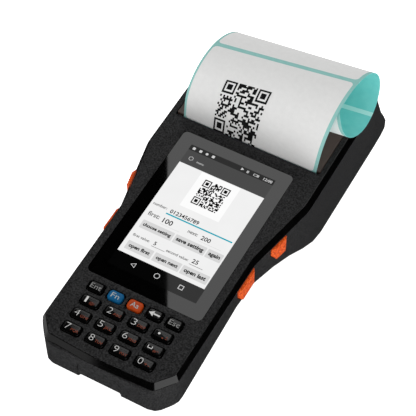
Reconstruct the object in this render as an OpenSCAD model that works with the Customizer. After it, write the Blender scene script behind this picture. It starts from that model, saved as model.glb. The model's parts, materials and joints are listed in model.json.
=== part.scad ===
// Handheld payment terminal with keypad, touch screen and a label printer in its head.
// Everything is drawn in a face frame: Z = 0 is the top face, Y runs from the keypad end
// to the printer end. stance() then tips that frame so the terminal stands on its feet.

/* [Body] */
// Half width of the hand grip
grip_half = 40.4; // [38:0.1:42]
// Half width of the printer head
head_half = 49.65; // [49:0.05:52]
// Length of the rim, keypad end to printer end
rim_len = 226; // [225:1:232]
// Depth of the grip below the top face
grip_depth = 26.5; // [26:0.1:29]
// Depth of the printer head below the top face
head_depth = 50.5; // [50:0.1:53]
// Thickness of the rear housing wall
wall = 2.2; // [1.8:0.1:2.4]
// Height of the glossy trim band around the top face
band_h = 4.3; // [3.5:0.1:4.5]
// How far the trim band leans inward at the head
band_w = 2.15; // [1.8:0.05:2.4]
// Thickness of the front cover plate
plate = 3; // [2.6:0.1:3.2]

/* [Screen] */
// Width of the touch glass
glass_w = 67.7; // [66:0.1:69]
// Length of the touch glass
glass_l = 104.9; // [102:0.1:106]
// Thickness of the touch glass
glass_t = 0.95; // [0.7:0.05:1.1]
// Distance from the keypad end to the lower edge of the glass
glass_y = 45.5; // [45:0.1:47]

/* [Keys] */
// Height that the keys stand above the top face
key_rise = 0.9; // [0.4:0.1:1.4]
// Travel of a key
key_travel = 0.8; // [0.4:0.1:0.9]
// Gap around each key
key_gap = 0.3; // [0.2:0.05:0.4]
// Distance between the keys of the top row
fn_pitch = 11.56; // [11:0.01:12]
// Distance between the keys of the digit rows
digit_pitch = 14.16; // [13.5:0.01:14.5]
// Distance between key rows
row_pitch = 9.05; // [8.6:0.05:9.2]
// Distance from the keypad end to the lowest key row
first_row_y = 11.1; // [11:0.1:11.6]
// Height that the side buttons stand out of the wall
button_rise = 1.6; // [1:0.1:2]

/* [Printer] */
// Width of the label liner
liner_w = 82; // [80:0.5:82]
// Radius of the label roll
roll_r = 20; // [15:0.5:20]
// Radius of the platen roller
platen_r = 4.4; // [4:0.1:4.6]
// Tooth size of the feed gears
gear_m = 0.6; // [0.55:0.01:0.62]
// Radius of the curl that the printed label makes
curl_r = 18.5; // [16:0.5:20]

/* [Hidden] */

$fn = 48;
rim_z = -band_h;
cover_in = band_w + 0.35;        // the cover plate's edge, measured in from the outer rim
shoulder_y0 = 92;                // the grip starts to widen here
shoulder_y1 = 136;               // and has the head's width here
shoulder_a = atan((head_half - grip_half) / (shoulder_y1 - shoulder_y0));

foot_rise = 0.8;
heel_foot_y = 8.5;
belly_foot_y = 160;
tilt = atan((head_depth - grip_depth) / (belly_foot_y - heel_foot_y));
lift = -(heel_foot_y * sin(tilt) - (grip_depth + foot_rise) * cos(tilt));
far_tip = [242, -47];            // lowest corner of the printer end
rim_corner = 2.6;                // how much narrower the upper edge is at the printer end
middle_y = (far_tip[0] * cos(tilt) - far_tip[1] * sin(tilt) - rim_z * sin(tilt)) / 2;

paper_x = 1;                     // the label path lies a little right of the middle
slot_y = 158.2;                  // rear edge of the front cover, where the label comes out
platen_at = [slot_y + 5.15, -9.2];
head_face_y = slot_y + 0.1;
hinge_at = [219.3, -6.2];
roll_at = [195, -26];
web_y = head_face_y + 0.3;
lid_half = 44.3;
lid_barrel_r = 3;
lid_y = slot_y + 2;
gear_x = -44.2;
gear_t = 2;
platen_n = 18;
idler_n = 26;
pinion_n = 12;
mesh_gap = 0.12;
lift_dir = atan2(hinge_at[0] - platen_at[0], platen_at[1] - hinge_at[1]);
idler_d = gear_m * (platen_n + idler_n) / 2 + mesh_gap;
idler_at = platen_at - idler_d * [cos(lift_dir), sin(lift_dir)];
pinion_dir = 206;
pinion_d = gear_m * (idler_n + pinion_n) / 2 + mesh_gap;
pinion_at = idler_at + pinion_d * [cos(pinion_dir), sin(pinion_dir)];
// How far the idler's nearest tooth stands from the line to the pinion
idler_skew = pinion_dir - lift_dir - round((pinion_dir - lift_dir) * idler_n / 360) * 360 / idler_n;
key_skirt = 2.6;                 // how far a key reaches below the top face
port_pivot = [1.2, -12.9];
thumb_half = 12.9;               // recess that lets a thumb under the port flap
thumb_z = -20.7;
button_z = -10.5;
button_h = 10.6;
release_y = 111.5;
release_l = 12.5;
trigger_y = 82.5;
trigger_l = 17.5;
release_x = grip_half + (release_y - shoulder_y0) * tan(shoulder_a);

// Housing sections, keypad end to printer end:
// [distance, half width, upper edge, depth, lower corner radius, cavity's upper edge]
sections = [
    [0, 26, rim_z, 22.4, 1.5, 1],
    [0.7, 29.2, rim_z, 24, 1.5, 1],
    [2.2, 32.1, rim_z, 25.6, 1.6, 1],
    [4.5, 34.2, rim_z, grip_depth, 1.8, 1],
    [8, 36.9, rim_z, grip_depth, 2, 1],
    [10.2, 38.5, rim_z, grip_depth, 2.2, 1],
    [12.6, 39.7, rim_z, grip_depth, 2.5, 1],
    [16, 40.1, rim_z, grip_depth, 3, 1],
    [74, grip_half - 0.1, rim_z, grip_depth, 10, 1],
    [92, grip_half + 0.2, rim_z, 28.5, 10, 1],
    [109, 44, rim_z, 32, 10, 1],
    [124, 47.2, rim_z, 37.3, 10, 1],
    [136, head_half - 0.3, rim_z, 43, 8, 1],
    [146, head_half, rim_z, 48.5, 6, 1],
    [156, head_half, rim_z, head_depth, 4, 1],
    [218, head_half, rim_z, head_depth, 4, 1],
    [rim_len, head_half, rim_z, head_depth, 4, -9],
    [229.5, head_half, -20, 50.3, 4, -25],
    [235, head_half, -29.5, 50, 4, -34],
    [239.8, head_half - 0.2, -38.6, 49, 4, -41],
    [far_tip[0], 48.2, -42, -far_tip[1], 2, -42.3]];

// ---- shared shapes -----------------------------------------------------------------

module stance() {
    translate([0, -middle_y, lift]) rotate([tilt, 0, 0]) children();
}

module along_x(x0, x1) {
    translate([x0, 0, 0]) rotate([90, 0, 90]) linear_extrude(x1 - x0) children();
}

module rod_x(x0, x1, at, r) {
    translate([x0, at[0], at[1]]) rotate([0, 90, 0]) cylinder(h = x1 - x0, r = r);
}

module slab(x0, x1, y0, y1, z0, z1) {
    translate([x0, y0, z0]) cube([x1 - x0, y1 - y0, z1 - z0]);
}

function unit(v) = v / norm(v);

// A rounded corner at p, between its neighbours a and b
function corner(a, p, b, r, n) =
    let (u = unit(a - p), v = unit(b - p), h = acos(u * v) / 2,
         c = p + unit(u + v) * (r / sin(h)),
         s = p + u * (r / tan(h)) - c, e = p + v * (r / tan(h)) - c,
         a0 = atan2(s[1], s[0]), turn = (atan2(e[1], e[0]) - a0 + 540) % 360 - 180)
    [for (i = [0:n]) c + r * [cos(a0 + turn * i / n), sin(a0 + turn * i / n)]];

function rounded(pts, radii, n = 5) =
    let (m = len(pts))
    [for (i = [0:m - 1]) each corner(pts[(i + m - 1) % m], pts[i], pts[(i + 1) % m], radii[i], n)];

function mirrored(half) =
    concat(half, [for (i = [len(half) - 1:-1:0]) [-half[i][0], half[i][1]]]);

function round_box(w, l, r) =
    rounded([[w, -l] / 2, [w, l] / 2, [-w, l] / 2, [-w, -l] / 2], [r, r, r, r]);

// Plan outline of the terminal, moved in by t at the head and a little less at the grip
function plan(t) =
    let (half = [[31.5 - 0.5 * t, 1.6 + 0.85 * t], [39.9 - 0.75 * t, 12.2 + 0.35 * t],
                 [grip_half - 0.77 * t, shoulder_y0 + 0.1 * t],
                 [head_half - t, shoulder_y1 + 0.1 * t], [head_half - t, rim_len - t]],
         radii = [4, 4, 30, 30, 4.5])
    rounded(concat(mirrored(half), [[0, 0.85 * t]]),
        concat(radii, [for (i = [4:-1:0]) radii[i]], [150]));

// A closed solid through rings of points that all have the same count
module skin(rings) {
    n = len(rings[0]);
    m = len(rings);
    sides = [for (k = [0:m - 2], i = [0:n - 1])
        [(k + 1) * n + i, (k + 1) * n + (i + 1) % n, k * n + (i + 1) % n, k * n + i]];
    caps = [[for (i = [0:n - 1]) i], [for (i = [n - 1:-1:0]) (m - 1) * n + i]];
    polyhedron([for (r = rings) each r], concat(sides, caps), convexity = 8);
}

// A ring-shaped solid through closed loops, the last joined back to the first
module hoop(loops) {
    n = len(loops[0]);
    m = len(loops);
    polyhedron([for (r = loops) each r], [for (k = [0:m - 1], i = [0:n - 1])
        [((k + 1) % m) * n + i, ((k + 1) % m) * n + (i + 1) % n, k * n + (i + 1) % n, k * n + i]],
        convexity = 8);
}

// A U-shaped cross-section of the housing, as a ring at distance y; its upper edge is drawn in
function u_ring(y, w, top, depth, r, in = 0, n = 5) =
    let (mid = top - min(8, (depth + top - r) / 2))
    [for (p = concat([[w - in, top], [w, mid]],
    [for (i = [0:n]) [w - r + r * cos(90 * i / n), -depth + r - r * sin(90 * i / n)]],
    [for (i = [0:n]) [-w + r - r * sin(90 * i / n), -depth + r - r * cos(90 * i / n)]],
    [[-w, mid], [-w + in, top]])) [p[0], y, p[1]]];

module housing_body(t) {
    skin([for (s = sections) u_ring(t == 0 ? s[0] : t + s[0] * (far_tip[0] - 2 * t) / far_tip[0],
        s[1] - t, t == 0 ? s[2] : s[5], s[3] - t, s[4], s[0] == rim_len ? rim_corner : 0)]);
}

// A gear in the Y-Z plane with straight-sided teeth; phase turns its first tooth
module gear(n, bore, phase) {
    pitch_r = gear_m * n / 2;
    tip_r = pitch_r + 0.8 * gear_m;
    root_r = pitch_r - 1.1 * gear_m;
    tip_a = asin(0.32 * gear_m / tip_r);     // half the tooth at its tip, then at its root
    root_a = asin(gear_m / root_r);
    difference() {
        polygon([for (i = [0:n - 1], q = [[root_r, -root_a], [tip_r, -tip_a], [tip_r, tip_a],
            [root_r, root_a]]) let (a = phase + 360 * i / n + q[1]) q[0] * [cos(a), sin(a)]]);
        circle(r = bore);
    }
}

module gear_at(at, n, bore, phase) {
    along_x(gear_x, gear_x + gear_t) translate(at) gear(n, bore, phase);
}

// A strip of even thickness along points in the Y-Z plane
function ribbon(pts, t) =
    let (m = len(pts) - 1,
         dir = [for (i = [0:m]) unit(pts[min(i + 1, m)] - pts[max(i - 1, 0)])])
    concat([for (i = [0:m]) pts[i] + t / 2 * [-dir[i][1], dir[i][0]]],
           [for (i = [m:-1:0]) pts[i] - t / 2 * [-dir[i][1], dir[i][0]]]);

// ---- casing ------------------------------------------------------------------------

module key_holes() {
    for (k = keys) translate([k[1], k[2], 0])
        polygon(round_box(k[3] + 2 * key_gap, k[4] + 2 * key_gap, 2));
}

module front_cover() stance() color("#2b2b2c") difference() {
    translate([0, 0, -plate]) linear_extrude(plate) difference() {
        polygon(plan(cover_in));
        key_holes();
        translate([-lid_half - 0.3, slot_y]) square([2 * lid_half + 0.6, 64]);
        translate([0, glass_y + glass_l / 2]) polygon(round_box(glass_w - 6, glass_l - 4, 2));
    }
    translate([0, glass_y + glass_l / 2, -glass_t - 0.1]) linear_extrude(2)
        polygon(round_box(glass_w + 0.2, glass_l + 0.2, 3));
    slab(-43, 43, slot_y - 1, slot_y + 1, -1.2, 1);
}

module trim_band() stance() color("#0c0c0d") {
    loops = [[0, rim_z], [band_w, 0], [cover_in, 0], [cover_in, rim_z]];
    hoop([for (l = loops) [for (p = plan(l[0])) [p[0], p[1], l[1]]]]);
}

module side_holes() {
    for (s = [-1, 1]) {
        button_solid(s, release_x, release_y, release_l, shoulder_a, 0.3, 6);
        button_solid(s, grip_half - 0.1, trigger_y, trigger_l, 0, 0.3, 6);
    }
}

module hinge_ear(s) {
    slab(s > 0 ? 45 : -47.8, s > 0 ? 47.8 : -45, 215.5, 222.5, -10, rim_z - 0.1);
}

module rear_housing() color("#29292a") difference() {
    stance() difference() {
        union() {
            difference() {
                housing_body(0);
                housing_body(wall);
            }
            hinge_ear(-1);
            hinge_ear(1);
            // walls of the thumb recess under the port flap
            slab(-thumb_half - 1.5, thumb_half + 1.5, 2.5, 6.6, -25, thumb_z + 1.5);
        }
        rod_x(-47, 47, hinge_at, 1.5);
        rod_x(-lid_half - 0.4, lid_half + 0.4, hinge_at, lid_barrel_r + 0.4);
        side_holes();
        slab(-33.2, 33.2, 13.8, 72.2, -28, -24);
        slab(-12.5, 12.5, -2, 2.4, -24.2, port_pivot[1] + 1.15);
        slab(-12.5, 12.5, 2, 5, -19.2, port_pivot[1] + 1.15);
        slab(-thumb_half, thumb_half, -2, 5, -30, thumb_z);
        for (i = [-2:2]) slab(i * 3 - 0.6, i * 3 + 0.6, 82, 90, -40, -20);
        for (p = housing_screws) translate([p[0], p[1], -head_depth - 1]) cylinder(h = 2.7, r = 2.3);
        slab(-9, 9, 222, 242, -25, -14);
    }
    foot_bar(54, 5, heel_foot_y, grip_depth, 0.1);
    foot_bar(72, 7, belly_foot_y, head_depth, 0.1);
}

module touch_glass() stance() color("#101112") {
    translate([0, glass_y + glass_l / 2, -glass_t]) linear_extrude(glass_t - 0.05)
        polygon(round_box(glass_w, glass_l, 2.9));
}

module display_panel() stance() color("#dfe3e6") {
    slab(-28, 28, 50.5, 146, -glass_t - 2.5, -glass_t - 0.1);
}

module nfc_antenna() stance() color("#8a5a2b") difference() {
    slab(-33, 33, 47.5, 149, -plate - 0.5, -plate - 0.1);
    slab(-29, 29, 49.5, 147, -plate - 1, -plate + 1);
}

module battery_cover() stance() color("#29292a") difference() {
    slab(-33, 33, 14, 72, -grip_depth, -24.4);
    for (p = cover_screws) translate([p[0], p[1], -grip_depth - 1]) cylinder(h = 2.4, r = 2);
}

module port_cover() stance() color("#1d1d1e") {
    along_x(-12.2, 12.2) union() {
        translate(port_pivot) circle(r = 0.9);
        translate([port_pivot[0] - 0.9, -20.4]) square([1.8, 20.4 + port_pivot[1]]);
    }
}

module foot_bar(w, l, y, depth, gap) {
    at = [y * cos(tilt) + (depth + foot_rise) * sin(tilt) - middle_y, foot_rise + 1.2];
    translate([0, at[0], -gap]) linear_extrude(at[1] + gap)
        polygon(round_box(w + 2 * gap, l + 2 * gap, l / 2 - 0.3));
}

module heel_foot() color("#151515") foot_bar(54, 5, heel_foot_y, grip_depth, 0);

module belly_foot() color("#151515") foot_bar(72, 7, belly_foot_y, head_depth, 0);

housing_screws = [[-38, 170], [38, 170], [-38, 212], [38, 212]];
cover_screws = [[-27, 67], [27, 67]];

module screw(h, r) {
    difference() {
        cylinder(h = h, r = r);
        translate([0, 0, -0.1]) cylinder(h = 0.7, r = r * 0.45, $fn = 6);
    }
}

module screws() stance() color("#5c5c5e") {
    for (p = housing_screws) translate([p[0], p[1], -head_depth + 0.3]) screw(1.3, 2.2);
    for (p = cover_screws) translate([p[0], p[1], -grip_depth + 0.2]) screw(1.1, 1.9);
}

// ---- keypad and side buttons -------------------------------------------------------

fn_y = first_row_y + 3 * row_pitch - 0.1;
function fn_key(name, i) = [name, (i - 2) * fn_pitch, fn_y, 9.5, 6.6];
function digit_key(name, i, row) =
    [name, (i - 1.5) * digit_pitch, first_row_y + row * row_pitch, 11, 6.4];
fn_names = ["enter", "fn", "caps", "back", "escape"];
digit_names = [["7", "8", "9", "0"], ["4", "5", "6", "space"], ["1", "2", "3", "dot"]];
// Each key: [name, x, y, width, length]
keys = concat([for (i = [0:4]) fn_key(fn_names[i], i)],
    [for (row = [0:2], i = [0:3]) digit_key(digit_names[row][i], i, row)]);

module key(name, tint = "#141415") stance() color(tint) {
    for (k = keys) if (k[0] == name) translate([k[1], k[2], -key_skirt])
        linear_extrude(key_skirt + key_rise) polygon(round_box(k[3], k[4], 1.7));
}

module keypad_mat() stance() color("#4a4a4c") {
    mat_top = -(key_skirt + key_travel + 0.2);
    slab(-33, 33, 6, 44, mat_top - 1.1, mat_top);
}

// A side button: s is its side, x and y its place, gap is added all round, deep reaches inside
module button_solid(s, x, y, l, turn, gap, deep) {
    half = l / 2 + gap;
    high = button_h / 2 + gap;
    mirror([s > 0 ? 0 : 1, 0, 0]) translate([x, y, button_z]) rotate([0, 0, -turn])
        intersection() {
            translate([0, 0, -high]) linear_extrude(2 * high)
                polygon([[-deep, -half], [0.3, -half], [button_rise + gap, -half + 2],
                    [button_rise + gap, half - 2], [0.3, half], [-deep, half]]);
            // side profile with its lower corners cut back, most of all towards the keypad
            along_x(-deep - 1, button_rise + gap + 1)
                polygon([[-half, high], [half, high], [half, 1.4 - high], [half - 1.4, -high],
                    [3.2 - half, -high], [-half, 5.2 - high]]);
        }
}

module side_button(s, upper) stance() color("#f2712a") {
    if (upper) button_solid(s, release_x, release_y, release_l, shoulder_a, 0, 4);
    else button_solid(s, grip_half - 0.1, trigger_y, trigger_l, 0, 0, 4);
}

// ---- electronics -------------------------------------------------------------------

module main_board() stance() color("#1f5c3a") {
    slab(-32, 32, 8, 148, -8.2, -7);
}

module battery() stance() color("#3b3f45") {
    slab(-30, 30, 16, 70, -24.2, -11.5);
}

module speaker() stance() color("#777777") {
    translate([0, 86, -24]) cylinder(h = 4, r = 8);
}

module usb_socket() stance() color("#b8b8bb") difference() {
    slab(-4.5, 4.5, 3.4, 10.6, -18.2, -15);
    slab(-4, 4, 3, 9.5, -17.8, -15.4);
}

module scan_engine() stance() color("#222426") {
    slab(-10, 10, 215.6, 222.8, -26, -13);
}

module scan_window() stance() color("#4a0d10") {
    along_x(-8.8, 8.8)
        polygon([[224, -14.2], [228, -14.2], [229.2, -20], [231.9, -24.8], [224, -24.8]]);
}

// ---- printer -----------------------------------------------------------------------

module printer_frame() stance() color("#9a9da1") difference() {
    union() {
        slab(-46.6, -45.2, 146, 176, -36, -3.6);
        slab(-46.6, 44, 150.2, 153.4, -18, -3.6);
        slab(-41.6, -28, 150.2, 153.4, -20.6, -17);
    }
    rod_x(-47, -45, idler_at, 1.2);
}

module print_head() stance() color("#d8d4c8") {
    slab(paper_x - 41, paper_x + 41, 153.6, head_face_y, -13, -3.2);
}

module tear_bar() stance() color("#c9ccd0") {
    along_x(-42.8, 42.8) polygon([[slot_y - 0.9, -1.1], [slot_y, -0.3], [slot_y, -0.05],
        [slot_y - 0.9, -0.05]]);
}

module stepper_motor() stance() color("#b9bcc0") difference() {
    rod_x(-41.8, -27, pinion_at, 6.6);
    rod_x(-42, -38, pinion_at, 1.06);
}

module motor_shaft() stance() color("#dcdde0") rod_x(gear_x - 0.2, -38.4, pinion_at, 1);

module motor_pinion() stance() color("#e9e4d2") {
    gear_at(pinion_at, pinion_n, 1,
        pinion_dir + 180 + 180 / pinion_n + idler_skew * idler_n / pinion_n);
}

module idler_stud() stance() color("#dcdde0") rod_x(-46.6, gear_x + gear_t + 0.2, idler_at, 1.2);

module idler_gear() stance() color("#e9e4d2") gear_at(idler_at, idler_n, 1.25, lift_dir);

module platen_gear() stance() color("#e9e4d2") {
    gear_at(platen_at, platen_n, 2, lift_dir + 180 + 180 / platen_n);
}

module platen_shaft() stance() color("#dcdde0") rod_x(gear_x - 0.1, 43.9, platen_at, 2);

module platen_rubber() stance() color("#1b1b1c") difference() {
    rod_x(paper_x - 41.2, paper_x + 41.2, platen_at, platen_r);
    rod_x(-44, 44, platen_at, 2);
}

module label_roll() stance() color("#f4f4f0") difference() {
    rod_x(paper_x - liner_w / 2, paper_x + liner_w / 2, roll_at, roll_r);
    rod_x(-45, 45, roll_at, 6.5);
}

module roll_core() stance() color("#b58a5c") difference() {
    rod_x(paper_x - liner_w / 2, paper_x + liner_w / 2, roll_at, 6.5);
    rod_x(-45, 45, roll_at, 5.2);
}

module roll_holders() stance() color("#2f3032") {
    for (s = [-1, 1]) {
        rod_x(min(s * 47.3, paper_x + s * 41.4), max(s * 47.3, paper_x + s * 41.4), roll_at, 9);
        rod_x(paper_x + (s > 0 ? 37 : -41.4), paper_x + (s > 0 ? 41.4 : -37), roll_at, 5.12);
    }
}

// The label between roll and print head
web_turn = [web_y, -15];
web_reach = norm(web_turn - roll_at);
web_a = atan2(web_turn[1] - roll_at[1], web_turn[0] - roll_at[0]) + acos((roll_r + 0.4) / web_reach);
web_end = roll_at + (roll_r + 0.4) * [cos(web_a), sin(web_a)];

module label_web() stance() color("#f4f4f0") {
    along_x(paper_x - liner_w / 2, paper_x + liner_w / 2)
        polygon(ribbon([[web_y, -3.6], web_turn, web_end], 0.16));
}

// The printed label: straight out of the slot, then round into a loose curl over the lid
curl_at = [197, curl_r + 0.9];
slot_at = [web_y, 0.5];
curl_reach = norm(curl_at - slot_at);
curl_a = atan2(slot_at[1] - curl_at[1], slot_at[0] - curl_at[0]) - acos(curl_r / curl_reach);
curl_steps = 30;
curl_pts = concat([[web_y, -2.8], slot_at], [for (i = [0:curl_steps])
    let (a = curl_a - 262 * i / curl_steps) curl_at + curl_r * [cos(a), sin(a)]]);

module label_strip() stance() color("#f7f7f5") {
    along_x(paper_x - liner_w / 2, paper_x + liner_w / 2) polygon(ribbon(curl_pts, 0.3));
}

module printer_lid() stance() color([0.24, 0.19, 0.18, 0.75]) difference() {
    union() {
        along_x(-lid_half, lid_half)
            polygon([[lid_y, -2.5], [lid_y, -0.3], [206, -0.3], [217.2, -2.8], hinge_at,
                [214.8, -5.2], [205, -2.5]]);
        for (x = [-41.9, 42.8]) along_x(x, x + 1.1) polygon([[lid_y + 0.6, -2.4],
            [platen_at[0] - 2.8, platen_at[1] - 3.2], [platen_at[0] + 2.8, platen_at[1] - 3.2],
            [platen_at[0] + 5, -2.4]]);
        rod_x(-lid_half, lid_half, hinge_at, lid_barrel_r);
    }
    rod_x(-45, 45, hinge_at, 1.55);
    for (x = [-42.4, 42.4]) rod_x(x - 1.6, x + 1.6, platen_at, 2.05);
}

module lid_hinge_pin() stance() color("#dcdde0") rod_x(-47, 47, hinge_at, 1.5);

// ---- drawing -----------------------------------------------------------------------

front_cover();
trim_band();
rear_housing();
touch_glass();
display_panel();
nfc_antenna();
main_board();
keypad_mat();
battery();
battery_cover();
speaker();
usb_socket();
port_cover();
printer_frame();
print_head();
tear_bar();
stepper_motor();
motor_shaft();
motor_pinion();
idler_stud();
idler_gear();
platen_gear();
platen_shaft();
platen_rubber();
label_roll();
roll_core();
roll_holders();
label_web();
label_strip();
printer_lid();
lid_hinge_pin();
scan_engine();
scan_window();
heel_foot();
belly_foot();
screws();
key("enter");  // key_enter
key("fn", "#1f8fd0");  // key_fn
key("caps", "#f2712a");  // key_caps
key("back");  // key_back
key("escape");  // key_escape
key("1");  // key_1
key("2");  // key_2
key("3");  // key_3
key("dot");  // key_dot
key("4");  // key_4
key("5");  // key_5
key("6");  // key_6
key("space");  // key_space
key("7");  // key_7
key("8");  // key_8
key("9");  // key_9
key("0");  // key_0
side_button(1, true);  // right_release
side_button(-1, true);  // left_release
side_button(1, false);  // right_trigger
side_button(-1, false);  // left_trigger
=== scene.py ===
import bmesh
import bpy
import json
import math
from mathutils import Matrix, Vector


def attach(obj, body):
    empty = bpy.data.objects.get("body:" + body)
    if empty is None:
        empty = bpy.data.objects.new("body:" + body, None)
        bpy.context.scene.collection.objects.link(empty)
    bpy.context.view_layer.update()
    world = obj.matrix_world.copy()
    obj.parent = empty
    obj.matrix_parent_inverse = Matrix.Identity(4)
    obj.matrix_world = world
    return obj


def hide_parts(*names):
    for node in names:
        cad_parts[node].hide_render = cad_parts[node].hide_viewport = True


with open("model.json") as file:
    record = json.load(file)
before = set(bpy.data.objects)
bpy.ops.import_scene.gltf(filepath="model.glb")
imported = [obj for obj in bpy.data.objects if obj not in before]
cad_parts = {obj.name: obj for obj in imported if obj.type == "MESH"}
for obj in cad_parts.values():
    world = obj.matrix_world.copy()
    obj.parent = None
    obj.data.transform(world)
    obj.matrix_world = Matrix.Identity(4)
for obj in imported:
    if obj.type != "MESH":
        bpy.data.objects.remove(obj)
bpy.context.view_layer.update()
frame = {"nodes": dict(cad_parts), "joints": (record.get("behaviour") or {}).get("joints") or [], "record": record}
cadNodes = frame["nodes"]
print("frame loaded:", len(cadNodes), "nodes")

mm = 0.001

# The terminal leans on its feet. Pieces are drawn flat, with the top face at z = 0 and y running
# from the keypad end to the printer end, and are then tipped into place by faceToRow.
pressAxis = next(j["axis"] for j in frame["joints"] if j["name"] == "key_5_press")
lidPivot = next(j["pos_m"] for j in frame["joints"] if j["name"] == "lid_hinge")
lean = math.atan2(pressAxis[1], -pressAxis[2])
leanTurn = Matrix.Rotation(lean, 4, "X")
hingeOnFace = Vector((0, 219.3, -6.2)) * mm
faceToRow = Matrix.Translation(Vector(lidPivot) - leanTurn @ hingeOnFace) @ leanTurn


def alone(*objects):
    bpy.ops.object.select_all(action="DESELECT")
    for each in objects:
        each.select_set(True)
    bpy.context.view_layer.objects.active = objects[0]


def openMesh(piece):
    alone(piece)
    bpy.ops.object.mode_set(mode="EDIT")
    bpy.ops.mesh.select_mode(type="FACE")


def closeMesh(tidyNormals=True):
    bpy.ops.mesh.select_all(action="SELECT")
    if tidyNormals:
        bpy.ops.mesh.normals_make_consistent(inside=False)
    bpy.ops.object.mode_set(mode="OBJECT")


def pickFaces(piece, test):
    sheet = bmesh.from_edit_mesh(piece.data)
    for face in sheet.faces:
        face.select_set(bool(test(face)))
    bmesh.update_edit_mesh(piece.data)


def applyAll(piece):
    alone(piece)
    for step in list(piece.modifiers):
        bpy.ops.object.modifier_apply(modifier=step.name)


def settle(piece, name, body, finish, smooth=35):
    piece.name = name
    piece.data.name = name
    applyAll(piece)
    piece.matrix_world = faceToRow @ piece.matrix_world
    bpy.ops.object.transform_apply(location=True, rotation=True, scale=True)
    if finish:
        piece.data.materials.clear()
        piece.data.materials.append(finish)
    if smooth:
        bpy.ops.object.shade_smooth_by_angle(angle=math.radians(smooth))
    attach(piece, body)
    return piece


# ------- materials

def toLinear(code):
    shares = [int(code[i:i + 2], 16) / 255 for i in (1, 3, 5)]
    return tuple(s / 12.92 if s <= 0.04045 else ((s + 0.055) / 1.055) ** 2.4 for s in shares) + (1,)


def addNode(tree, kind, inputs=None, **settings):
    node = tree.nodes.new(kind)
    for key, value in settings.items():
        setattr(node, key, value)
    for key, value in (inputs or {}).items():
        if isinstance(value, bpy.types.NodeSocket):
            tree.links.new(value, node.inputs[key])
        else:
            node.inputs[key].default_value = value
    return node


def startMaterial(name, **sockets):
    finish = bpy.data.materials.new(name)
    finish.use_nodes = True
    tree = finish.node_tree
    shader = tree.nodes["Principled BSDF"]
    for key, value in sockets.items():
        shader.inputs[key.replace("_", " ")].default_value = value
    place = addNode(tree, "ShaderNodeTexCoord").outputs["Object"]
    return finish, tree, shader, place


def makeNoise(tree, place, grain, detail):
    # grain in mm
    return addNode(tree, "ShaderNodeTexNoise", {"Vector": place, "Scale": 1 / (grain * mm), "Detail": detail})


def mathNode(tree, operation, a, b):
    return addNode(tree, "ShaderNodeMath", {0: a, 1: b}, operation=operation).outputs[0]


def mixed(tree, share, first, second):
    # a mix of two colours; 6 and 7 are the node's own colour sockets
    return addNode(tree, "ShaderNodeMix", {"Factor": share, 6: first, 7: second}, data_type="RGBA").outputs[2]


def mottled(tree, shader, place, dark, light, grain, contrast=0.5, detail=3):
    # colour that drifts between two close tones, grain in mm
    noise = makeNoise(tree, place, grain, detail)
    ramp = addNode(tree, "ShaderNodeValToRGB", {"Fac": noise.outputs["Fac"]})
    ramp.color_ramp.elements[0].position = 0.5 - contrast / 2
    ramp.color_ramp.elements[1].position = 0.5 + contrast / 2
    ramp.color_ramp.elements[0].color = toLinear(dark)
    ramp.color_ramp.elements[1].color = toLinear(light)
    tree.links.new(ramp.outputs["Color"], shader.inputs["Base Color"])
    return noise


def bumped(tree, shader, height, strength, depth):
    # depth in mm
    bump = addNode(tree, "ShaderNodeBump", {"Height": height, "Strength": strength, "Distance": depth * mm})
    tree.links.new(bump.outputs["Normal"], shader.inputs["Normal"])
    return bump


def roughened(tree, shader, noise, low, high):
    spread = addNode(tree, "ShaderNodeMapRange", {"Value": noise, "To Min": low, "To Max": high})
    tree.links.new(spread.outputs["Result"], shader.inputs["Roughness"])


absTexture = {"dark": "#040405", "light": "#2f2f30", "grain": 0.8, "contrast": 0.26, "pit": 0.7,
              "pitDepth": 0.12}


def makeSparkedAbs(name, dark, light, pitStrength, specular):
    # ABS moulded in a spark-eroded tool: a fine even sparkle of pits that breaks up every highlight,
    # drawn coarser than the true tenth of a millimetre so that it shows
    finish, tree, shader, place = startMaterial(name, Specular_IOR_Level=specular)
    noise = mottled(tree, shader, place, dark, light, absTexture["grain"], absTexture["contrast"])
    pits = makeNoise(tree, place, absTexture["pit"], 2)
    roughened(tree, shader, pits.outputs["Fac"], 0.5, 0.7)
    bumped(tree, shader, pits.outputs["Fac"], pitStrength, absTexture["pitDepth"])
    return finish


coverAbs = makeSparkedAbs("sparkErodedAbsCover", absTexture["dark"], absTexture["light"], 0.6, 0.28)
housingAbs = makeSparkedAbs("sparkErodedAbsHousing", "#19191a", "#353536", 0.4, 0.3)


def makeGloss(name, dark, light, rough, specular=0.5, grain=6, wave=0.004):
    # injection moulded and polished: a hard highlight with a faint orange-peel ripple
    finish, tree, shader, place = startMaterial(name, Specular_IOR_Level=specular)
    noise = mottled(tree, shader, place, dark, light, grain)
    roughened(tree, shader, noise.outputs["Fac"], rough * 0.8, rough * 1.3)
    ripple = makeNoise(tree, place, 1.6, 1)
    bumped(tree, shader, ripple.outputs["Fac"], 0.35, wave)
    return finish


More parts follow.
